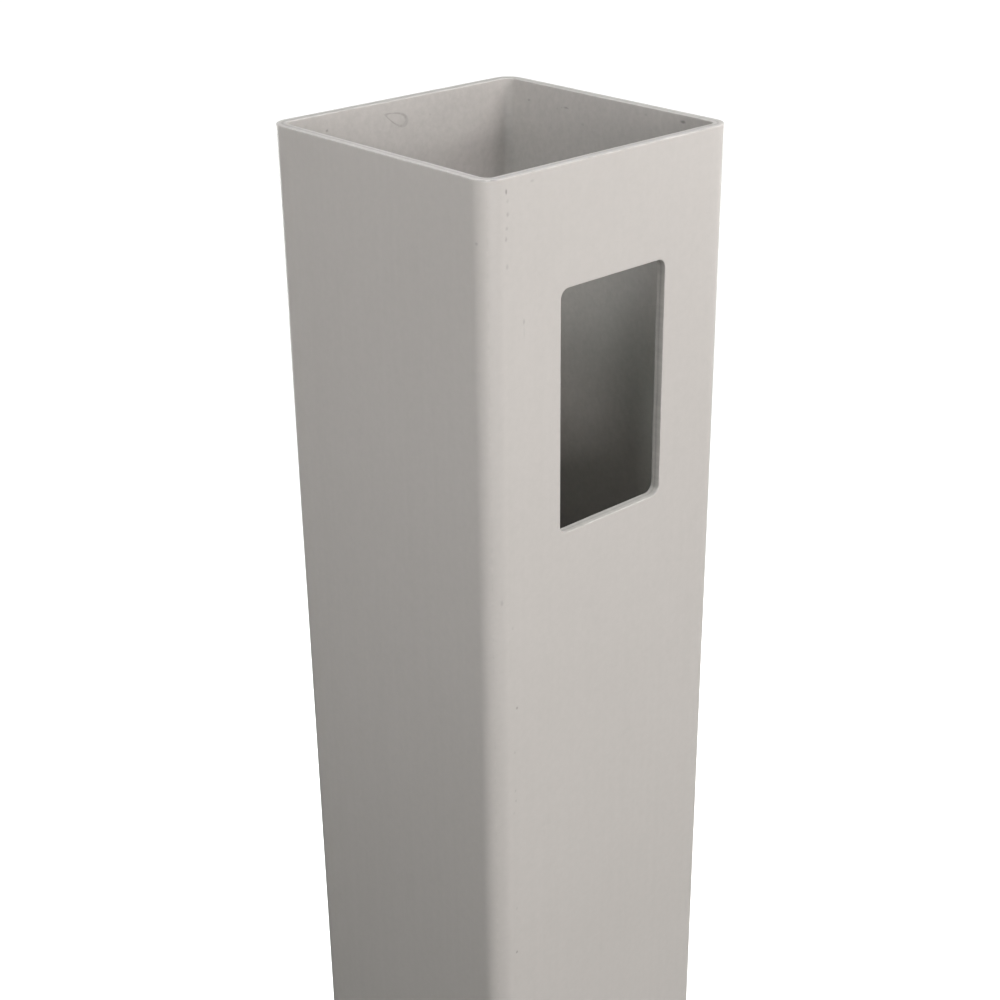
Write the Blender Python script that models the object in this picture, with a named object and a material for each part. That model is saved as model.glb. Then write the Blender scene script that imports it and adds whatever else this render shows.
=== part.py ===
"""Square hollow fence post with two routed rail holes in its front face.

The post stands on the ground plane at Z = 0, with its centre line on the Z axis.
Its routed face looks along -Y. All sizes are in metres.
"""
import math

import bmesh
import bpy
from mathutils import Vector

# The extrusion.
POST_WIDTH = 0.1016
POST_HEIGHT = 1.2192
WALL = 0.00343
OUTER_CORNER_RADIUS = 0.00635
INNER_CORNER_RADIUS = 0.00292

# The rail holes, cut by a round bit that leaves its own radius in the corners.
RAIL_HOLE_WIDTH = 0.04445
RAIL_HOLE_HEIGHT = 0.0794
ROUTER_BIT_RADIUS = 0.003175
TOP_EDGE_TO_HOLE = 0.0370
GROUND_TO_LOWER_SILL = 0.1016

# How finely the round corners are divided.
OUTER_CORNER_STEPS = 10
INNER_CORNER_STEPS = 8
HOLE_CORNER_STEPS = 8

SHARP_ANGLE = math.radians(30)
VINYL_COLOUR = (0.42, 0.402, 0.378, 1.0)
VINYL_ROUGHNESS = 0.45

inner_width = POST_WIDTH - 2 * WALL
front_face_y = -POST_WIDTH / 2


def clear_scene():
    """Leave an empty scene."""
    for thing in list(bpy.data.objects):
        bpy.data.objects.remove(thing, do_unlink=True)


def vinyl_material():
    """Satin clay-grey vinyl, coloured right through."""
    material = bpy.data.materials.new("clay_vinyl")
    material.use_nodes = True
    shader = material.node_tree.nodes["Principled BSDF"]
    shader.inputs["Base Color"].default_value = VINYL_COLOUR
    shader.inputs["Roughness"].default_value = VINYL_ROUGHNESS
    shader.inputs["Metallic"].default_value = 0.0
    return material


def rounded_block(name, size, along, radius, steps):
    """A box centred on its origin, with the four edges along one axis rounded."""
    mesh = bpy.data.meshes.new(name)
    shape = bmesh.new()
    bmesh.ops.create_cube(shape, size=1.0)
    bmesh.ops.scale(shape, vec=Vector(size), verts=shape.verts)
    long_edges = []
    for edge in shape.edges:
        start, end = edge.verts
        run = (end.co - start.co).normalized()
        if abs(run[along]) > 0.99:
            long_edges.append(edge)
    bmesh.ops.bevel(
        shape,
        geom=long_edges,
        offset=radius,
        offset_type="OFFSET",
        segments=steps,
        profile=0.5,
        affect="EDGES",
    )
    bmesh.ops.recalc_face_normals(shape, faces=shape.faces)
    shape.to_mesh(mesh)
    shape.free()
    block = bpy.data.objects.new(name, mesh)
    bpy.context.scene.collection.objects.link(block)
    return block


def cut(target, cutter):
    """Take the cutter's shape out of the target, and show the cutter as a guide only."""
    cutter.display_type = "WIRE"
    cutter.hide_render = True
    cutter.parent = target
    cutter.matrix_parent_inverse = target.matrix_world.inverted()
    step = target.modifiers.new("cut_" + cutter.name, "BOOLEAN")
    step.operation = "DIFFERENCE"
    step.solver = "EXACT"
    step.object = cutter


def rail_hole_cutter(name, sill_height):
    """A rounded window's shape, through the front wall and clear of it on both sides."""
    size = (RAIL_HOLE_WIDTH, 3 * WALL, RAIL_HOLE_HEIGHT)
    cutter = rounded_block(name, size, 1, ROUTER_BIT_RADIUS, HOLE_CORNER_STEPS)
    cutter.location = (0.0, front_face_y + WALL / 2, sill_height + RAIL_HOLE_HEIGHT / 2)
    return cutter


def build_post():
    """The extruded tube, sawn square at both ends, with its rail holes."""
    post = rounded_block(
        "post",
        (POST_WIDTH, POST_WIDTH, POST_HEIGHT),
        2,
        OUTER_CORNER_RADIUS,
        OUTER_CORNER_STEPS,
    )
    post.location = (0.0, 0.0, POST_HEIGHT / 2)
    post.data.materials.append(vinyl_material())

    hollow = rounded_block(
        "hollow_guide",
        (inner_width, inner_width, POST_HEIGHT + 2 * WALL),
        2,
        INNER_CORNER_RADIUS,
        INNER_CORNER_STEPS,
    )
    hollow.location = post.location

    upper_sill_height = POST_HEIGHT - TOP_EDGE_TO_HOLE - RAIL_HOLE_HEIGHT
    upper_hole = rail_hole_cutter("upper_rail_hole_guide", upper_sill_height)
    lower_hole = rail_hole_cutter("lower_rail_hole_guide", GROUND_TO_LOWER_SILL)

    bpy.context.view_layer.update()
    for cutter in (hollow, upper_hole, lower_hole):
        cut(post, cutter)

    post.data.shade_smooth()
    post.data.set_sharp_from_angle(angle=SHARP_ANGLE)
    return post


clear_scene()
build_post()
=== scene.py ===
import math

import bmesh
import bpy
from mathutils import Matrix, Vector, noise


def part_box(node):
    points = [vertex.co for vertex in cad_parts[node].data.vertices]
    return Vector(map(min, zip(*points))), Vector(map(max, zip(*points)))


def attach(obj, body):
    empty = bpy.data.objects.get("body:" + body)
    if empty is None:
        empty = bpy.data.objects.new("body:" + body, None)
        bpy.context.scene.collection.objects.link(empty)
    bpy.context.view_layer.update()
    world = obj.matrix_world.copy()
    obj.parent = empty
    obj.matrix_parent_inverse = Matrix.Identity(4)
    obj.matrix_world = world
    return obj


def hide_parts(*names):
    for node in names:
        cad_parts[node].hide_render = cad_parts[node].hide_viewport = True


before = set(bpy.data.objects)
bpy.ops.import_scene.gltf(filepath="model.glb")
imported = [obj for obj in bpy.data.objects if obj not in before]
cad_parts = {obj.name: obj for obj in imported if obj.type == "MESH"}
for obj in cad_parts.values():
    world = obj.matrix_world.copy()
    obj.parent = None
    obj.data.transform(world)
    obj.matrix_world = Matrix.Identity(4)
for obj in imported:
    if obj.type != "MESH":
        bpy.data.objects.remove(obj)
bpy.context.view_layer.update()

# Sizes, in metres. The body's box gives the width and the height.
post_low, post_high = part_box("post")
HALF = (post_high[0] - post_low[0]) / 2
TOP = post_high[2]
WALL = 0.00343
CORNER_RADIUS = 0.00635
HOLE_HALF_WIDTH = 0.04445 / 2
HOLE_HEIGHT = 0.0794
BIT_RADIUS = 0.003175
UPPER_SILL = TOP - 0.0370 - HOLE_HEIGHT
LOWER_SILL = 0.1016
FLAT = HALF - CORNER_RADIUS

# How far the sawn and the routed edges are eased.
ARRIS = 0.00030
HOLE_ARRIS = 0.00020

# The mesh's frame round each rail hole, and the rings of points between that frame and the hole.
PATCH_MARGIN = 0.0040
PATCH_HALF_WIDTH = HOLE_HALF_WIDTH + PATCH_MARGIN
HOLE_SUPPORT = HOLE_ARRIS + 0.0005
HOLE_RING_SHARES = (0.45, 0.8)

# How uneven the cuts are: the saw's ripple, the burr on the edges and the router's chatter. Each
# scale is how many turns of noise go to a metre, and a layer is the noise's height in its own space.
BROAD_RIPPLE = 0.000030
BROAD_SCALE = 60
BROAD_LAYER = 1.7
FINE_RIPPLE = 0.000025
FINE_SCALE = 900
FINE_LAYER = 4.1
END_SINK = 0.00004
BURR = 0.00010
BURR_REACH = ARRIS * 0.8
OUTER_LIP_SHARE = 0.25
END_BURR_SCALE = 420.0
HOLE_BURR_SCALE = 350.0
FINE_BURR_TIMES = 2.7
FINE_BURR_SHARE = 0.6
BURR_START = 0.15
BURR_GAIN = 1.6
CHATTER = 0.000030
CHATTER_SCALE = 700
CHATTER_SCALE_INWARD = 160

# The small nick in the top end's outer edge, near the front left corner, and how strongly the painted shade
# in its hollow and the painted shadow of a burr along the edge beside it darken the colour.
NICK = Vector((-0.0489, -0.0493))
NICK_REACH = 0.0011
NICK_DEPTH = 0.00035
NICK_PAINTED_SHADE = 0.45
BURR_PAINTED_SHADOW = 0.22

# Where the outer layer of vinyl meets the inner one, and how far that line wanders.
SEAM_DEPTH = 0.0019
SEAM_WAVER = 0.00015

# How finely the mesh is divided.
SIDE_STEPS = 14
ARC_SPAN = 5
SPAN_STEPS = 36
CORNER_STEPS = 14
HOLE_ROWS = 30
EASE_STEPS = 4
ACROSS_STEPS = 7
LOWER_ROWS = 8
MIDDLE_ROWS = 16
UPPER_ROWS = 8
FLAT_STEPS = 2 * SIDE_STEPS + 2 * ARC_SPAN + SPAN_STEPS
FIRST_ROW_RISE = 0.0006
LAST_ROW_DROPS = (0.0030, 0.0012, 0.0004)


def even(start, end, count):
    """Points after start, up to and including end, evenly spaced."""
    return [start + (end - start) * (k + 1) / count for k in range(count)]


# Places along the front face where the mesh has a line, with the rail holes' frame in the middle.
front_stops = [-FLAT]
front_stops += even(-FLAT, -PATCH_HALF_WIDTH, SIDE_STEPS)
front_stops += even(-PATCH_HALF_WIDTH, -(HOLE_HALF_WIDTH - BIT_RADIUS), ARC_SPAN)
front_stops += even(-(HOLE_HALF_WIDTH - BIT_RADIUS), HOLE_HALF_WIDTH - BIT_RADIUS, SPAN_STEPS)
front_stops += even(HOLE_HALF_WIDTH - BIT_RADIUS, PATCH_HALF_WIDTH, ARC_SPAN)
front_stops += even(PATCH_HALF_WIDTH, FLAT, SIDE_STEPS)
PATCH_FIRST = SIDE_STEPS
PATCH_LAST = SIDE_STEPS + 2 * ARC_SPAN + SPAN_STEPS


def profile():
    """The section as (flat or arc, turn, place along) entries, anticlockwise from the front face."""
    entries = []
    for side in range(4):
        stops = front_stops if side == 0 else [-FLAT] + even(-FLAT, FLAT, FLAT_STEPS)
        for stop in stops:
            entries.append(("flat", side, stop))
        for step in range(1, CORNER_STEPS):
            entries.append(("arc", side, step / CORNER_STEPS))
    return entries


PROFILE = profile()
COLUMNS = len(PROFILE)


def section_point(column, depth):
    """A point of the section, this deep below the outer skin, and its outward direction."""
    kind, side, place = PROFILE[column]
    if kind == "flat":
        point = Vector((place, -(HALF - depth)))
        out = Vector((0.0, -1.0))
    else:
        angle = -math.pi / 2 + place * math.pi / 2
        out = Vector((math.cos(angle), math.sin(angle)))
        point = Vector((FLAT, -FLAT)) + out * (CORNER_RADIUS - depth)
    turn = Matrix.Rotation(side * math.pi / 2, 2)
    return turn @ point, turn @ out


def hole_stops(sill):
    """Heights of the rows that frame a rail hole, from below its sill to above its head."""
    low, high = sill, sill + HOLE_HEIGHT
    stops = [low - PATCH_MARGIN]
    stops += even(low - PATCH_MARGIN, low + BIT_RADIUS, ARC_SPAN)
    stops += even(low + BIT_RADIUS, high - BIT_RADIUS, HOLE_ROWS)
    stops += even(high - BIT_RADIUS, high + PATCH_MARGIN, ARC_SPAN)
    return stops


# Heights of the mesh's rows, closer together by the cut ends and by the rail holes.
rows = [ARRIS, ARRIS + FIRST_ROW_RISE]
rows += even(rows[-1], LOWER_SILL - PATCH_MARGIN, LOWER_ROWS)[:-1]
LOWER_PATCH = (len(rows), len(rows) + 2 * ARC_SPAN + HOLE_ROWS)
rows += hole_stops(LOWER_SILL)
rows += even(rows[-1], UPPER_SILL - PATCH_MARGIN, MIDDLE_ROWS)[:-1]
UPPER_PATCH = (len(rows), len(rows) + 2 * ARC_SPAN + HOLE_ROWS)
rows += hole_stops(UPPER_SILL)
rows += even(rows[-1], TOP - ARRIS - LAST_ROW_DROPS[0], UPPER_ROWS)
rows += [TOP - ARRIS - LAST_ROW_DROPS[1], TOP - ARRIS - LAST_ROW_DROPS[2], TOP - ARRIS]


def hole_outline(sill, grow):
    """Points round a rail hole made this much larger, anticlockwise from its lower left corner."""
    radius = BIT_RADIUS + grow
    left, right = -(HOLE_HALF_WIDTH - BIT_RADIUS), HOLE_HALF_WIDTH - BIT_RADIUS
    low, high = sill + BIT_RADIUS, sill + HOLE_HEIGHT - BIT_RADIUS
    corners = [(left, low), (right, low), (right, high), (left, high)]
    steps = [SPAN_STEPS, HOLE_ROWS, SPAN_STEPS, HOLE_ROWS]
    points = []
    for side in range(4):
        here, there = corners[side], corners[(side + 1) % 4]
        middle = -math.pi / 2 + side * math.pi / 2
        for k in range(ARC_SPAN):
            angle = middle - math.pi / 4 * (1 - k / ARC_SPAN)
            points.append((here[0] + radius * math.cos(angle), here[1] + radius * math.sin(angle)))
        shift = (radius * math.cos(middle), radius * math.sin(middle))
        for k in range(steps[side] + 1):
            t = k / steps[side]
            points.append((here[0] + (there[0] - here[0]) * t + shift[0],
                           here[1] + (there[1] - here[1]) * t + shift[1]))
        for k in range(1, ARC_SPAN):
            angle = middle + math.pi / 4 * k / ARC_SPAN
            points.append((there[0] + radius * math.cos(angle), there[1] + radius * math.sin(angle)))
    return points


def saw_ripple(x, y):
    """How far the saw-cut end stands above or below its plane."""
    broad = noise.noise(Vector((x * BROAD_SCALE, y * BROAD_SCALE, BROAD_LAYER)))
    fine = noise.noise(Vector((x * FINE_SCALE, y * FINE_SCALE, FINE_LAYER)))
    return BROAD_RIPPLE * broad + FINE_RIPPLE * fine


def ragged(x, y, z, scale):
    """Between 0 and 1, mostly near 0: where a cut edge keeps a little burr."""
    value = 0.0
    for times, share in ((1.0, 1.0), (FINE_BURR_TIMES, FINE_BURR_SHARE)):
        place = Vector((x * scale * times, y * scale * times, z * scale * times))
        value += share * noise.noise(place)
    return max(0.0, min(1.0, (value - BURR_START) * BURR_GAIN))


def nick(x, y):
    """How deep the small nick near the front left corner goes at this place on the top end's edge."""
    away = (Vector((x, y)) - NICK).length / NICK_REACH
    return NICK_DEPTH * max(0.0, 1.0 - away * away)


def ease_angles():
    """Angles round a quarter circle, from its start up to and including its end."""
    return [math.pi / 2 * k / EASE_STEPS for k in range(EASE_STEPS + 1)]


def end_path():
    """The way over a sawn end, as (depth below the outer skin, drop below the end) pairs."""
    path = []
    for angle in ease_angles()[1:]:
        path.append((ARRIS * (1 - math.cos(angle)), ARRIS * (1 - math.sin(angle))))
    for k in range(1, ACROSS_STEPS):
        path.append((ARRIS + (WALL - 2 * ARRIS) * k / ACROSS_STEPS, 0.0))
    for angle in ease_angles()[:-1]:
        path.append((WALL - ARRIS * (1 - math.sin(angle)), ARRIS * (1 - math.cos(angle))))
    return path


def hole_path():
    """The way into a hole and through the wall, as (share, growth, depth, whether cut) entries.

    The share is how far a ring has come from the frame to the hole's outline, and the
    growth is how much larger than the hole that outline is.
    """
    path = [(share, HOLE_SUPPORT, 0.0, False) for share in HOLE_RING_SHARES]
    path.append((1.0, HOLE_SUPPORT, 0.0, False))
    for angle in ease_angles():
        path.append((1.0, HOLE_ARRIS * (1 - math.sin(angle)), HOLE_ARRIS * (1 - math.cos(angle)), True))
    for k in range(1, ACROSS_STEPS):
        path.append((1.0, 0.0, HOLE_ARRIS + (WALL - 2 * HOLE_ARRIS) * k / ACROSS_STEPS, True))
    for angle in ease_angles()[::-1]:
        depth = WALL - HOLE_ARRIS * (1 - math.cos(angle))
        path.append((1.0, HOLE_ARRIS * (1 - math.sin(angle)), depth, True))
    path.append((1.0, HOLE_SUPPORT, WALL, False))
    path += [(share, HOLE_SUPPORT, WALL, False) for share in HOLE_RING_SHARES[::-1]]
    return path


def on_edge(depth, arris):
    """Whether the faces that end this deep in the wall belong to an eased edge."""
    slack = arris * 0.01
    return depth < arris + slack or depth > WALL - arris + slack


class PostMesh:
    """The tube's two skins, its sawn ends and its routed holes, as one closed mesh."""

    def __init__(self):
        self.shape = bmesh.new()
        self.cut_faces = []
        self.edge_faces = []
        self.outer = self.skin_grid(0.0)
        self.inner = self.skin_grid(WALL)
        self.skin_faces(self.outer, False)
        self.skin_faces(self.inner, True)
        self.sawn_end(0.0, 0, -1.0)
        self.sawn_end(TOP, len(rows) - 1, 1.0)
        self.routed_hole(LOWER_SILL, LOWER_PATCH)
        self.routed_hole(UPPER_SILL, UPPER_PATCH)

    def skin_grid(self, depth):
        """Points of one skin, column by column, with none inside the holes' frames."""
        grid = []
        for column in range(COLUMNS):
            point, _out = section_point(column, depth)
            line = []
            for row, z in enumerate(rows):
                inside = False
                if PATCH_FIRST < column < PATCH_LAST:
                    for first, last in (LOWER_PATCH, UPPER_PATCH):
                        inside = inside or first < row < last
                line.append(None if inside else self.shape.verts.new((point.x, point.y, z)))
            grid.append(line)
        return grid

    def skin_faces(self, grid, flip):
        """Faces between the points of one skin, outside the holes' frames."""
        for column in range(COLUMNS):
            after = (column + 1) % COLUMNS
            for row in range(len(rows) - 1):
                hidden = PATCH_FIRST <= column < PATCH_LAST and (
                    LOWER_PATCH[0] <= row < LOWER_PATCH[1] or UPPER_PATCH[0] <= row < UPPER_PATCH[1])
                if hidden:
                    continue
                corners = [grid[column][row], grid[after][row], grid[after][row + 1], grid[column][row + 1]]
                self.shape.faces.new(corners[::-1] if flip else corners)

    def join(self, first, second, kept_in=None):
        """A band of faces between two rings, listed with the other faces of its kind."""
        count = len(first)
        for k in range(count):
            after = (k + 1) % count
            face = self.shape.faces.new([first[k], first[after], second[after], second[k]])
            if kept_in is not None:
                kept_in.append(face)

    def sawn_end(self, end, row, up):
        """An eased edge, the sawn face and an eased edge, from the outer skin to the inner one."""
        last_ring = [self.outer[column][row] for column in range(COLUMNS)]
        for depth, drop in end_path():
            ring = []
            for column in range(COLUMNS):
                point, out = section_point(column, depth)
                z = end - up * drop
                x, y = point
                if depth < BURR_REACH or depth > WALL - BURR_REACH:
                    side = 1.0 if depth < WALL / 2 else -1.0
                    burr = ragged(x, y, end, END_BURR_SCALE)
                    x += out.x * side * burr * BURR
                    y += out.y * side * burr * BURR
                z += up * (saw_ripple(x, y) - END_SINK) * (1.0 - drop / ARRIS)
                if up > 0.0:
                    z -= nick(x, y)
                ring.append(self.shape.verts.new((x, y, z)))
            self.join(last_ring, ring, self.edge_faces if on_edge(depth, ARRIS) else self.cut_faces)
            last_ring = ring
        self.join(last_ring, [self.inner[column][row] for column in range(COLUMNS)], self.edge_faces)

    def hole_border(self, grid, patch):
        """The points of one skin round a hole's frame, anticlockwise from its lower left."""
        first, last = patch
        loop = [grid[column][first] for column in range(PATCH_FIRST, PATCH_LAST)]
        loop += [grid[PATCH_LAST][row] for row in range(first, last)]
        loop += [grid[column][last] for column in range(PATCH_LAST, PATCH_FIRST, -1)]
        loop += [grid[PATCH_FIRST][row] for row in range(last, first, -1)]
        return loop

    def hole_ring(self, sill, border, share, grow, depth, is_cut):
        """One ring of points on the way from a hole's frame through the wall."""
        outline = hole_outline(sill, grow)
        ring = []
        for k, vertex in enumerate(border):
            start = vertex.co
            x = start.x + (outline[k][0] - start.x) * share
            z = start.z + (outline[k][1] - start.z) * share
            y = -HALF + depth
            if is_cut:
                inward = Vector((-x, 0.0, sill + HOLE_HEIGHT / 2 - z)).normalized()
                place = Vector((x * CHATTER_SCALE, y * CHATTER_SCALE_INWARD, z * CHATTER_SCALE))
                chatter = CHATTER * noise.noise(place)
                lip_share = 1.0 if depth > WALL - HOLE_ARRIS else OUTER_LIP_SHARE
                lip = ragged(x, 0.0, z, HOLE_BURR_SCALE) * lip_share * BURR
                amount = min(1.0, (HOLE_ARRIS - grow) / HOLE_ARRIS)
                x += inward.x * (chatter + lip) * amount
                z += inward.z * (chatter + lip) * amount
            ring.append(self.shape.verts.new((x, y, z)))
        return ring

    def routed_hole(self, sill, patch):
        """Rings on each side of the wall, and the routed edge between them."""
        outer_border = self.hole_border(self.outer, patch)
        last_ring = outer_border
        was_cut = False
        for share, grow, depth, is_cut in hole_path():
            ring = self.hole_ring(sill, outer_border, share, grow, depth, is_cut)
            kept_in = None
            if is_cut and was_cut:
                kept_in = self.edge_faces if on_edge(depth, HOLE_ARRIS) else self.cut_faces
            self.join(last_ring, ring, kept_in)
            last_ring = ring
            was_cut = is_cut
        self.join(last_ring, self.hole_border(self.inner, patch))

    def finished(self):
        """The mesh, smooth shaded, with a material slot each for skin, cuts and eased edges."""
        for face in self.shape.faces:
            face.smooth = True
            face.material_index = 0
        for face in self.cut_faces:
            face.material_index = 1
        for face in self.edge_faces:
            face.material_index = 2
        bmesh.ops.recalc_face_normals(self.shape, faces=self.shape.faces)
        mesh = bpy.data.meshes.new("vinyl_post")
        self.shape.to_mesh(mesh)
        self.shape.free()
        return mesh


# The vinyl's colours, how strongly the streaks and patches show, and how rough each surface is.
SKIN_DEEP = (0.414, 0.401, 0.375, 1.0)
SKIN_PALE = (0.427, 0.414, 0.388, 1.0)
FINE_STREAK = (0.380, 0.367, 0.342, 1.0)
BROAD_STREAK = (0.400, 0.386, 0.360, 1.0)
ROUTED = (0.418, 0.406, 0.381, 1.0)
SAWN = (0.462, 0.444, 0.424, 1.0)
# The eased edges: a dull colour, and a pale one that is partly wear and partly a painted highlight along
# the edges.
EDGE_DULL = (0.395, 0.380, 0.358, 1.0)
EDGE_WORN_AND_HIGHLIGHT = (0.490, 0.473, 0.450, 1.0)
FINE_STREAK_SHARE = 0.11
BROAD_STREAK_SHARE = 0.12
SPECKLE_OUTSIDE = 0.018
SPECKLE_INSIDE = 0.055
GRIME = 0.025
TOOL_LINES = (0.91, 1.06)
TOOTH = (0.95, 1.05)
SKIN_ROUGHNESS = (0.42, 0.50)
GRIME_ROUGHNESS = 1.5
INSIDE_ROUGHNESS = 0.10
CUT_ROUGHNESS = 0.72
EDGE_ROUGHNESS = (0.88, 0.70)
VINYL_IOR = 1.50

# The seam's shade in the cut faces. The rest of a cut is a little paler, most of all by the outer skin.
SEAM_CORE = 0.00015
SEAM_FADE = 0.00055
SEAM_DARKENING = 0.20
BESIDE_SEAM = 1.035
NEAR_SKIN = 0.06


class Nodes:
    """Short hand for building a material's nodes."""

    def __init__(self, name):
        self.material = bpy.data.materials.new(name)
        self.material.use_nodes = True
        self.tree = self.material.node_tree
        self.shader = self.tree.nodes["Principled BSDF"]
        self.place = self.tree.nodes.new("ShaderNodeTexCoord").outputs["Object"]

    def link(self, source, target):
        self.tree.links.new(source, target)

    def put(self, socket, value):
        """Link a socket to another, or set it to a plain value."""
        if isinstance(value, bpy.types.NodeSocket):
            self.link(value, socket)
        else:
            socket.default_value = value

    def maths(self, operation, a, b=0.0, c=None):
        node = self.tree.nodes.new("ShaderNodeMath")
        node.operation = operation
        self.put(node.inputs[0], a)
        self.put(node.inputs[1], b)
        if c is not None:
            self.put(node.inputs[2], c)
        return node.outputs[0]

    def stretch(self, scale):
        """Places drawn out along the axes whose scale is small."""
        node = self.tree.nodes.new("ShaderNodeMapping")
        self.link(self.place, node.inputs["Vector"])
        node.inputs["Scale"].default_value = scale
        return node.outputs["Vector"]

    def noise(self, vector, scale, detail=3.0, roughness=0.5):
        """Cloudy noise with this many turns to a metre, mostly between 0.3 and 0.7."""
        node = self.tree.nodes.new("ShaderNodeTexNoise")
        self.link(vector, node.inputs["Vector"])
        node.inputs["Scale"].default_value = scale
        node.inputs["Detail"].default_value = detail
        node.inputs["Roughness"].default_value = roughness
        return node.outputs["Fac"]

    def ramp(self, value, low, high, out_low=0.0, out_high=1.0, smooth=False):
        """A value carried over from one range to another, and held at its ends."""
        node = self.tree.nodes.new("ShaderNodeMapRange")
        node.interpolation_type = "SMOOTHSTEP" if smooth else "LINEAR"
        self.put(node.inputs["Value"], value)
        node.inputs["From Min"].default_value = low
        node.inputs["From Max"].default_value = high
        node.inputs["To Min"].default_value = out_low
        node.inputs["To Max"].default_value = out_high
        return node.outputs["Result"]

    def mix(self, factor, a, b):
        node = self.tree.nodes.new("ShaderNodeMix")
        node.data_type = "RGBA"
        self.put(node.inputs["Factor"], factor)
        self.put(node.inputs["A"], a)
        self.put(node.inputs["B"], b)
        return node.outputs["Result"]

    def vector(self, operation, a, b=(0.0, 0.0, 0.0), c=None):
        node = self.tree.nodes.new("ShaderNodeVectorMath")
        node.operation = operation
        self.put(node.inputs[0], a)
        self.put(node.inputs[1], b)
        if c is not None:
            self.put(node.inputs[2], c)
        return node.outputs["Value" if operation in ("LENGTH", "DOT_PRODUCT") else "Vector"]

    def tint(self, colour, amount):
        """A colour made darker or paler by one amount."""
        node = self.tree.nodes.new("ShaderNodeVectorMath")
        node.operation = "SCALE"
        self.put(node.inputs[0], colour)
        self.put(node.inputs["Scale"], amount)
        return node.outputs["Vector"]

    def bump(self, height, strength, distance, normal=None):
        """A normal bent by a height, on top of another bump's normal where there is one."""
        node = self.tree.nodes.new("ShaderNodeBump")
        self.link(height, node.inputs["Height"])
        node.inputs["Strength"].default_value = strength
        node.inputs["Distance"].default_value = distance
        if normal is not None:
            self.link(normal, node.inputs["Normal"])
        return node.outputs["Normal"]


# Small marks on the vinyl, in millimetres: x, y, z from the top end, half width, half height, and
# last how strongly each one darkens.
MARKS = (
    (-43.4, -50.8, -3.9, 0.50, 1.05, 0.46),
    (-42.9, -50.8, -6.6, 0.60, 0.90, 0.12),
    (-42.9, -50.8, -10.4, 0.70, 0.90, 0.22),
    (-43.3, -50.8, -14.3, 0.75, 0.80, 0.18),
    (-43.6, -50.8, -17.4, 0.60, 0.95, 0.22),
    (-43.3, -50.8, -25.4, 0.70, 1.10, 0.18),
    (-33.6, -50.8, -2.6, 0.90, 0.60, 0.14),
    (-50.8, -46.2, -18.2, 0.70, 0.70, 0.24),
    (-37.0, -50.8, -43.2, 0.60, 1.10, 0.24),
    (-36.9, -50.8, -46.5, 0.45, 2.80, 0.07),
    (-46.6, -50.8, -131.5, 0.70, 1.30, 0.20),
    (-42.5, -50.8, -141.6, 0.60, 0.90, 0.10),
    (-41.0, -50.8, -171.0, 0.60, 0.72, 0.40),
    (-42.1, -50.8, -187.3, 0.50, 0.80, 0.12),
    (-42.0, -50.8, -202.0, 0.50, 0.80, 0.14),
    (-41.8, -50.8, -206.0, 0.50, 0.70, 0.16),
    (-42.6, -50.8, -210.5, 0.60, 0.70, 0.10),
    (-41.8, -50.8, -249.3, 0.50, 0.80, 0.14),
    (-42.0, -50.8, -267.5, 0.66, 0.74, 0.40),
    (47.4, 37.0, -6.1, 1.10, 0.50, 0.28),
    (47.4, 23.2, -6.9, 0.80, 0.45, 0.10),
    (47.4, 21.0, -6.2, 0.80, 0.40, 0.14),
    (47.4, 18.9, -6.0, 1.50, 0.50, 0.36),
    (47.4, 11.0, -10.3, 0.90, 0.60, 0.12),
    (47.4, -17.6, -2.5, 1.00, 0.50, 0.12),
    (47.4, -33.5, -2.2, 1.50, 0.70, 0.50),
    (-30.8, 47.4, -5.4, 0.70, 0.55, 0.36),
    (12.0, 47.4, -7.0, 0.60, 0.50, 0.10),
)
MARK_DEPTH = 0.0012
MARK_WOBBLE = 0.0005
MARK_WOBBLE_SCALE = 1300.0
MARK_CORE = 0.15
MARK_FADE = 1.1
SIDE_WALL = 47.0

# A dried drop's outline on the inside of the back wall: its middle, in millimetres from the middle
# of the top end, the ways its length and width run, its half sizes in millimetres, and its line.
DROP = Vector((-2.6, 47.4, -6.0))
DROP_ALONG = Vector((0.92, 0.0, -0.39))
DROP_ACROSS = Vector((0.39, 0.0, 0.92))
DROP_HALF_LENGTH = 4.7
DROP_HALF_WIDTH = 2.7
DROP_TAPER = 0.36
DROP_LINE_CORE = 0.05
DROP_LINE_FADE = 0.24
DROP_STRENGTH = 0.25


def marks(n):
    """How strongly a point is darkened by the small marks."""
    wobble = n.tree.nodes.new("ShaderNodeTexNoise")
    n.link(n.place, wobble.inputs["Vector"])
    wobble.inputs["Scale"].default_value = MARK_WOBBLE_SCALE
    shifted = n.vector("MULTIPLY_ADD", wobble.outputs["Color"], (MARK_WOBBLE,) * 3, n.place)
    total = None
    for x, y, z, half_width, half_height, strength in MARKS:
        middle = Vector((x / 1000, y / 1000, TOP + z / 1000)) + Vector((MARK_WOBBLE / 2,) * 3)
        width, height = half_width / 1000, half_height / 1000
        on_side = abs(x) > SIDE_WALL
        reach = (MARK_DEPTH, width, height) if on_side else (width, MARK_DEPTH, height)
        offset = n.vector("DIVIDE", n.vector("SUBTRACT", shifted, tuple(middle)), reach)
        away = n.vector("LENGTH", offset)
        spot = n.ramp(away, MARK_FADE, MARK_CORE, out_high=strength, smooth=True)
        total = spot if total is None else n.maths("MAXIMUM", total, spot)
    return total


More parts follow.
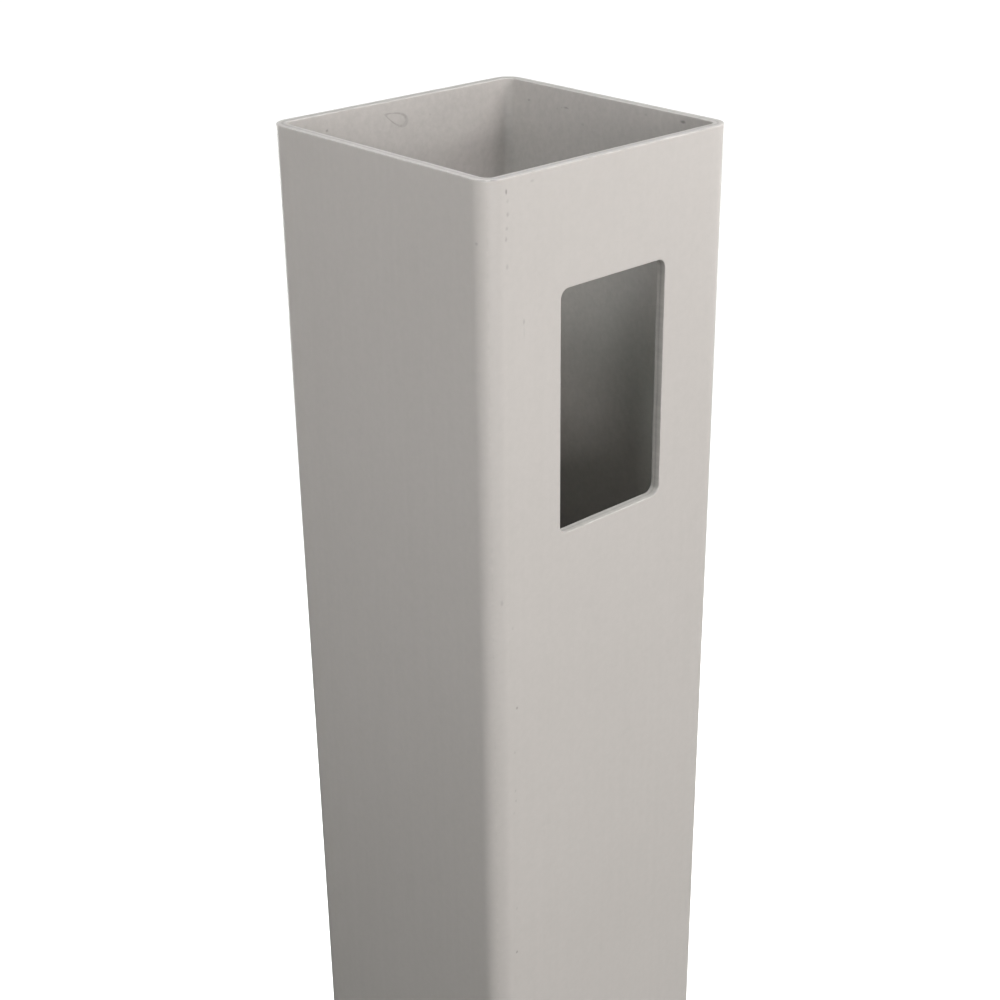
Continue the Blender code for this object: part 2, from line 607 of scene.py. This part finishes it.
def drop_outline(n):
    """The thin line of a dried drop, pointed at its upper left end."""
    offset = n.vector("SUBTRACT", n.place, (DROP.x / 1000, DROP.y / 1000, TOP + DROP.z / 1000))
    along = n.vector("DOT_PRODUCT", offset, tuple(DROP_ALONG))
    along = n.maths("MULTIPLY", along, 1000 / DROP_HALF_LENGTH)
    across = n.vector("DOT_PRODUCT", offset, tuple(DROP_ACROSS))
    across = n.maths("MULTIPLY", across, 1000 / DROP_HALF_WIDTH)
    girth = n.maths("MULTIPLY_ADD", along, DROP_TAPER, 1.0 - DROP_TAPER)
    across = n.maths("DIVIDE", across, girth)
    squares = n.maths("ADD", n.maths("MULTIPLY", along, along), n.maths("MULTIPLY", across, across))
    gap = n.maths("ABSOLUTE", n.maths("SUBTRACT", n.maths("SQRT", squares), 1.0))
    line = n.ramp(gap, DROP_LINE_FADE, DROP_LINE_CORE, smooth=True)
    off_wall = n.maths("ABSOLUTE", n.vector("DOT_PRODUCT", offset, (0.0, 1.0, 0.0)))
    on_back_wall = n.maths("LESS_THAN", off_wall, 0.001)
    broken = n.ramp(n.noise(n.place, scale=500.0), 0.3, 0.55, 0.35, 1.0)
    return n.maths("MULTIPLY", n.maths("MULTIPLY", line, on_back_wall), broken)


def skin_material():
    """Extruded clay-grey vinyl: faint die lines, slight mottling, small marks and a little grime."""
    n = Nodes("vinyl_skin")
    streaks = n.noise(n.stretch((1.0, 1.0, 0.012)), scale=420.0, detail=2.0)
    broad_streaks = n.noise(n.stretch((1.0, 1.0, 0.03)), scale=60.0, detail=2.0)
    mottle = n.noise(n.place, scale=14.0, detail=4.0)
    grain = n.noise(n.place, scale=520.0, detail=3.0, roughness=0.6)
    colour = n.mix(n.ramp(mottle, 0.3, 0.7), SKIN_DEEP, SKIN_PALE)
    colour = n.mix(n.ramp(streaks, 0.35, 0.75, out_high=FINE_STREAK_SHARE), colour, FINE_STREAK)
    colour = n.mix(n.ramp(broad_streaks, 0.3, 0.7, out_high=BROAD_STREAK_SHARE), colour, BROAD_STREAK)

    # The inside is duller and more speckled than the outside.
    across_x = n.maths("ABSOLUTE", n.vector("DOT_PRODUCT", n.place, (1.0, 0.0, 0.0)))
    across_y = n.maths("ABSOLUTE", n.vector("DOT_PRODUCT", n.place, (0.0, 1.0, 0.0)))
    inside = n.maths("LESS_THAN", n.maths("MAXIMUM", across_x, across_y), HALF - WALL / 2)
    speckle = n.ramp(grain, 0.30, 0.70, -1.0, 1.0)
    speckle_depth = n.ramp(inside, 0.0, 1.0, SPECKLE_OUTSIDE, SPECKLE_INSIDE)
    shade = n.maths("MULTIPLY_ADD", speckle, speckle_depth, 1.0)
    colour = n.tint(colour, shade)

    # Fingertip-sized cloudy patches of handling grime, and the small marks.
    patches = n.noise(n.place, scale=70.0, detail=5.0, roughness=0.6)
    cloud = n.ramp(patches, 0.56, 0.80, out_high=GRIME, smooth=True)
    colour = n.tint(colour, n.maths("SUBTRACT", 1.0, cloud))
    dark = n.maths("MAXIMUM", marks(n), n.maths("MULTIPLY", drop_outline(n), DROP_STRENGTH))
    colour = n.tint(colour, n.maths("SUBTRACT", 1.0, dark))
    n.link(colour, n.shader.inputs["Base Color"])

    rough = n.ramp(streaks, 0.2, 0.8, *SKIN_ROUGHNESS)
    rough = n.maths("ADD", rough, n.maths("MULTIPLY", cloud, GRIME_ROUGHNESS))
    rough = n.maths("ADD", rough, n.ramp(inside, 0.0, 1.0, out_high=INSIDE_ROUGHNESS))
    n.link(rough, n.shader.inputs["Roughness"])
    skin = n.bump(streaks, strength=0.12, distance=0.0002)
    skin = n.bump(broad_streaks, strength=0.08, distance=0.0010, normal=skin)
    skin = n.bump(n.noise(n.place, scale=1600.0, detail=2.0), strength=0.06, distance=0.0001, normal=skin)
    n.link(skin, n.shader.inputs["Normal"])
    n.shader.inputs["IOR"].default_value = VINYL_IOR
    return n.material


def sawn_part(n):
    """1 on the sawn ends, 0 in the routed holes."""
    near = 0.002
    height = n.vector("DOT_PRODUCT", n.place, (0.0, 0.0, 1.0))
    at_top = n.maths("GREATER_THAN", height, TOP - near)
    at_bottom = n.maths("LESS_THAN", height, near)
    return n.maths("MAXIMUM", at_top, at_bottom)


def wall_depth(n):
    """How far below the outer skin a point of the cut wall lies."""
    folded = n.vector("ABSOLUTE", n.place)
    flat = n.vector("MULTIPLY", folded, (1.0, 1.0, 0.0))
    beyond = n.vector("MAXIMUM", n.vector("SUBTRACT", flat, (FLAT, FLAT, 0.0)), (0.0, 0.0, 0.0))
    return n.maths("SUBTRACT", CORNER_RADIUS, n.vector("LENGTH", beyond))


def nick_painted_shade(n):
    """Painted shade in the nick's hollow, and a painted shadow of a burr along the edge on both sides of
    it.
    """
    away = n.vector("LENGTH", n.vector("SUBTRACT", n.place, (NICK.x, NICK.y, TOP)))
    hollow = n.ramp(away, 0.0010, 0.0003, out_high=NICK_PAINTED_SHADE, smooth=True)
    painted_burr_shadow = n.ramp(away, 0.0036, 0.0018, out_high=BURR_PAINTED_SHADOW, smooth=True)
    return n.maths("MAXIMUM", hollow, painted_burr_shadow)


def cut_material():
    """The sawn and routed faces, matt and scored by their tools; the sawn ones are paler."""
    n = Nodes("vinyl_cut")
    sawn = sawn_part(n)
    saw = n.noise(n.stretch((0.07, 1.0, 1.0)), scale=1000.0, detail=2.0)
    router = n.noise(n.stretch((1.0, 0.05, 1.0)), scale=620.0, detail=2.0)
    lines = n.maths("MULTIPLY_ADD", sawn, n.maths("SUBTRACT", saw, router), router)
    tooth = n.noise(n.place, scale=2200.0, detail=3.0, roughness=0.6)
    colour = n.mix(sawn, ROUTED, SAWN)
    colour = n.tint(colour, n.ramp(tooth, 0.3, 0.7, *TOOTH))
    colour = n.tint(colour, n.ramp(lines, 0.3, 0.7, *TOOL_LINES))

    # The seam between the outer and the inner layer of vinyl, a little darker and slightly sunk.
    depth = wall_depth(n)
    waver = n.ramp(n.noise(n.place, scale=120.0, detail=2.0), 0.3, 0.7, -SEAM_WAVER, SEAM_WAVER)
    off_seam = n.maths("ABSOLUTE", n.maths("SUBTRACT", n.maths("ADD", depth, waver), SEAM_DEPTH))
    seam = n.ramp(off_seam, SEAM_FADE, SEAM_CORE, smooth=True)
    colour = n.tint(colour, n.maths("MULTIPLY_ADD", seam, -SEAM_DARKENING, BESIDE_SEAM))
    near_skin = n.ramp(depth, 0.0011, 0.0004, out_high=NEAR_SKIN)
    colour = n.tint(colour, n.maths("ADD", near_skin, 1.0))
    n.link(colour, n.shader.inputs["Base Color"])
    n.shader.inputs["Roughness"].default_value = CUT_ROUGHNESS
    skin = n.bump(lines, strength=0.45, distance=0.00025)
    skin = n.bump(seam, strength=-0.35, distance=0.0001, normal=skin)
    n.link(n.bump(tooth, strength=0.25, distance=0.0001, normal=skin), n.shader.inputs["Normal"])
    n.shader.inputs["IOR"].default_value = VINYL_IOR
    return n.material


def edge_material():
    """The eased edges of the cuts, pale in patches: partly whitened by the blade and by handling, partly a
    painted highlight.
    """
    n = Nodes("vinyl_edge")
    worn_and_highlit = n.noise(n.place, scale=340.0, detail=4.0, roughness=0.65)
    # Pale patches on the edges: partly wear, partly a painted highlight.
    colour = n.mix(n.ramp(worn_and_highlit, 0.32, 0.68), EDGE_DULL, EDGE_WORN_AND_HIGHLIGHT)
    # Painted shade in the nick's hollow and a painted burr shadow along the edge darken the colour here.
    colour = n.tint(colour, n.maths("SUBTRACT", 1.0, nick_painted_shade(n)))
    n.link(colour, n.shader.inputs["Base Color"])
    n.link(n.ramp(worn_and_highlit, 0.3, 0.7, *EDGE_ROUGHNESS), n.shader.inputs["Roughness"])
    n.link(n.bump(worn_and_highlit, strength=0.4, distance=0.0002), n.shader.inputs["Normal"])
    n.shader.inputs["IOR"].default_value = VINYL_IOR
    return n.material


post_mesh = PostMesh().finished()
post = bpy.data.objects.new("vinyl_post", post_mesh)
bpy.context.scene.collection.objects.link(post)
post_mesh.materials.append(skin_material())
post_mesh.materials.append(cut_material())
post_mesh.materials.append(edge_material())
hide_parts("post")
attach(post, "root")

# The floor and the white sweep round it. Both are there for the eye alone: the light that they
# would send back is part of the studio's own light below.
FLOOR_REACH = 40.0
FLOOR_WHITE = (0.90, 0.90, 0.90, 1.0)
COVE_RADIUS = 20.0
COVE_HEIGHT = 12.0
COVE_SIDES = 64


def floor_material():
    n = Nodes("pale_floor")
    n.shader.inputs["Base Color"].default_value = FLOOR_WHITE
    n.shader.inputs["Roughness"].default_value = 0.9
    n.shader.inputs["Specular IOR Level"].default_value = 0.1
    return n.material


def cove_material():
    n = Nodes("cove_white")
    n.shader.inputs["Base Color"].default_value = (0.0, 0.0, 0.0, 1.0)
    n.shader.inputs["Emission Color"].default_value = (1.0, 1.0, 1.0, 1.0)
    n.shader.inputs["Emission Strength"].default_value = 1.0
    return n.material


def backdrop(name, points, faces, material):
    """A surface that the camera sees and the light on the post leaves out."""
    mesh = bpy.data.meshes.new(name)
    mesh.from_pydata(points, [], faces)
    mesh.materials.append(material)
    surface = bpy.data.objects.new(name, mesh)
    bpy.context.scene.collection.objects.link(surface)
    surface.visible_diffuse = False
    surface.visible_glossy = False
    surface.visible_shadow = False
    return surface


def ring_points(radius, level_height, count):
    """Points of a level circle round the post."""
    points = []
    for k in range(count):
        angle = 2 * math.pi * k / count
        points.append((radius * math.cos(angle), radius * math.sin(angle), level_height))
    return points


floor_corners = [(-FLOOR_REACH, -FLOOR_REACH, 0.0), (FLOOR_REACH, -FLOOR_REACH, 0.0)]
floor_corners += [(FLOOR_REACH, FLOOR_REACH, 0.0), (-FLOOR_REACH, FLOOR_REACH, 0.0)]
floor = backdrop("floor", floor_corners, [(0, 1, 2, 3)], floor_material())

cove_points = ring_points(COVE_RADIUS, 0.0, COVE_SIDES)
cove_points += ring_points(COVE_RADIUS, COVE_HEIGHT, COVE_SIDES)
cove_faces = []
for k in range(COVE_SIDES):
    after = (k + 1) % COVE_SIDES
    cove_faces.append((after, k, k + COVE_SIDES, after + COVE_SIDES))
backdrop("cove", cove_points, cove_faces, cove_material())

# The studio: dim walls that fade into a dark ceiling, and a bounce from below.
WALL_LIGHT = (0.20, 0.20, 0.20, 1.0)
BOUNCE_LIGHT = (0.249, 0.254, 0.245, 1.0)
NO_LIGHT = (0.0, 0.0, 0.0, 1.0)
FADE_START = 0.08
FADE_END = 0.48


def studio_world():
    """Light from all round, by how steeply it comes in."""
    world = bpy.data.worlds.new("studio")
    world.use_nodes = True
    nodes = world.node_tree.nodes
    links = world.node_tree.links
    direction = nodes.new("ShaderNodeTexCoord")
    height = nodes.new("ShaderNodeSeparateXYZ")
    links.new(direction.outputs["Generated"], height.inputs[0])
    walls = nodes.new("ShaderNodeValToRGB")
    links.new(height.outputs["Z"], walls.inputs["Fac"])
    stops = walls.color_ramp.elements
    stops[0].position = 0.0
    stops[0].color = WALL_LIGHT
    stops[1].position = FADE_END
    stops[1].color = NO_LIGHT
    stops.new(FADE_START).color = WALL_LIGHT
    below = nodes.new("ShaderNodeMath")
    below.operation = "LESS_THAN"
    below.inputs[1].default_value = 0.0
    links.new(height.outputs["Z"], below.inputs[0])
    studio = nodes.new("ShaderNodeMix")
    studio.data_type = "RGBA"
    links.new(below.outputs[0], studio.inputs["Factor"])
    links.new(walls.outputs["Color"], studio.inputs["A"])
    studio.inputs["B"].default_value = BOUNCE_LIGHT
    background = nodes["Background"]
    links.new(studio.outputs["Result"], background.inputs["Color"])
    background.inputs["Strength"].default_value = 1.0
    return world


bpy.context.scene.world = studio_world()


def around(azimuth, height, distance):
    """A place this far from the post; azimuth 0 is in front of the routed face, 90 to its right."""
    angle = math.radians(azimuth)
    return Vector((math.sin(angle) * distance, -math.cos(angle) * distance, height))


def softbox(name, place, aim_height, size, power, tint=(1.0, 1.0, 1.0), spread=180):
    """A square lamp that looks at the post's centre line, with its power in watts."""
    lamp = bpy.data.lights.new(name, "AREA")
    lamp.shape = "SQUARE"
    lamp.size = size
    lamp.energy = power
    lamp.color = tint
    lamp.spread = math.radians(spread)
    box = bpy.data.objects.new(name, lamp)
    bpy.context.scene.collection.objects.link(box)
    box.location = place
    aim = Vector((0.0, 0.0, aim_height)) - Vector(place)
    box.rotation_euler = aim.to_track_quat("-Z", "Y").to_euler()


# Each lamp's name, its place, the height it aims at, its size, power and tint, and a beam's spread.
softbox("left_level", around(-25, 1.25, 2.0), 1.1, 0.7, 14.5, (1.0, 0.955, 0.964))
softbox("right_level", around(70, 1.25, 2.0), 1.1, 0.7, 16.6, (1.0, 0.993, 0.967))
softbox("front_near", around(10, 1.6, 0.8), 1.15, 0.3, 4.65, (1.0, 0.941, 0.970))
softbox("front_lamp", around(4, 1.58, 2.0), 1.1, 0.13, 3.2, (1.0, 0.976, 0.989))
softbox("left_lamp", around(-25, 1.565, 2.0), 1.1, 0.2, 3.3, (0.992, 0.989, 1.0))
softbox("left_above", around(-65, 2.3, 1.4), 1.1, 0.15, 3.65, (0.950, 1.0, 0.992))
softbox("left_near", around(-95, 1.35, 0.5), 1.15, 0.25, 0.58, (1.0, 0.920, 0.935))
softbox("left_beam", around(-90, 2.1, 1.2), 1.2, 0.4, 0.112, (1.0, 0.951, 0.987), 20)
softbox("left_steep", around(-90, 2.5, 1.2), 1.2, 0.3, 0.044, (0.880, 0.996, 1.0), 20)
softbox("right_above", around(60, 2.3, 1.4), 1.1, 0.3, 9.2)
softbox("overhead", (0.0, 0.0, 2.2), 1.1, 0.6, 4.85, (0.940, 1.0, 0.994))
softbox("back_right", around(120, 0.85, 2.0), 0.7, 0.9, 20.0)
softbox("back", around(170, 0.85, 2.0), 0.7, 0.9, 18.0)

# A broad lamp that lights the floor alone, as a photographer lights a backdrop.
FLOOR_LAMP_STRENGTH = 3.7
FLOOR_LAMP_ANGLE = 80


def light_floor():
    """Link the broad lamp to the floor, so that the post gets none of its light."""
    lamp = bpy.data.lights.new("floor_lamp", "SUN")
    lamp.energy = FLOOR_LAMP_STRENGTH
    lamp.angle = math.radians(FLOOR_LAMP_ANGLE)
    floor_lamp = bpy.data.objects.new("floor_lamp", lamp)
    bpy.context.scene.collection.objects.link(floor_lamp)
    floor_only = bpy.data.collections.new("floor_only")
    floor_only.objects.link(floor)
    floor_lamp.light_linking.receiver_collection = floor_only


light_floor()

# The camera's place in metres, its angles in radians, its focal length in picture widths, and the
# nearest and farthest things that it sees.
EYE = Vector((-0.3612, -0.4005, TOP + 0.1241))
YAW = 0.7318
PITCH = 0.4385
ROLL = 0.0127
FOCAL_WIDTHS = 1.7522
SENSOR_MM = 36.0
NEAREST = 0.01
FARTHEST = 200.0


def photo_camera():
    """The camera that looks at the post as the photograph does."""
    forward = Vector((math.sin(YAW) * math.cos(PITCH), math.cos(YAW) * math.cos(PITCH), -math.sin(PITCH)))
    level = Vector((math.cos(YAW), -math.sin(YAW), 0.0))
    down = forward.cross(level)
    right = level * math.cos(ROLL) + down * math.sin(ROLL)
    up = level * math.sin(ROLL) - down * math.cos(ROLL)
    lens = bpy.data.cameras.new("camera")
    lens.sensor_width = SENSOR_MM
    lens.lens = SENSOR_MM * FOCAL_WIDTHS
    lens.clip_start = NEAREST
    lens.clip_end = FARTHEST
    camera = bpy.data.objects.new("camera", lens)
    bpy.context.scene.collection.objects.link(camera)
    turn = Matrix((right, up, -forward)).transposed()
    camera.matrix_world = Matrix.Translation(EYE) @ turn.to_4x4()
    return camera


bpy.context.scene.camera = photo_camera()
bpy.context.scene.view_settings.view_transform = "Standard"
bpy.context.scene.view_settings.look = "None"

bpy.context.view_layer.update()
